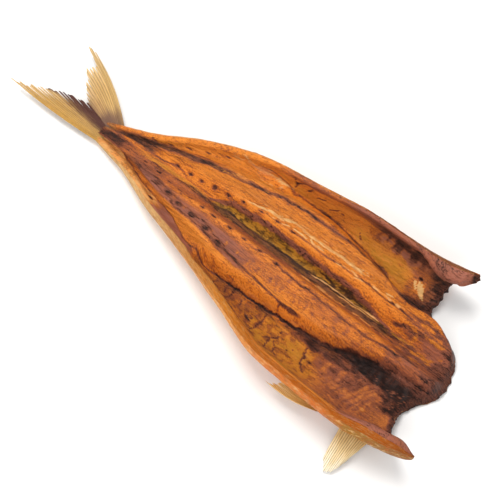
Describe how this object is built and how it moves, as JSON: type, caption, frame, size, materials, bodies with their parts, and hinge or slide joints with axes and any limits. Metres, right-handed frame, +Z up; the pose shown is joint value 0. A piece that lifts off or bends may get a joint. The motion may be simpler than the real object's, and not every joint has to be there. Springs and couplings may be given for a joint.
{
  "type": "smoked fish",
  "caption": "Smoked fish without its head, slit along the belly and opened flat, lying skin side down with tail and fins on.",
  "frame": {"origin": "middle of the fish's outer box, on the surface it lies on", "axes": "+X from the tail to the head end, -Y to the fish's own left half with its two fins, +Z up"},
  "size_m": [0.339, 0.1385, 0.0312],
  "materials": {
    "flesh": "oily smoked flesh, orange with brown and dark lines",
    "skin": "dried golden brown skin with a soft gloss",
    "fin": "dry, thin, rayed fin, a little translucent"
  },
  "bodies": {
    "root": {"fish": "flesh"}
  },
  "joints": []
}
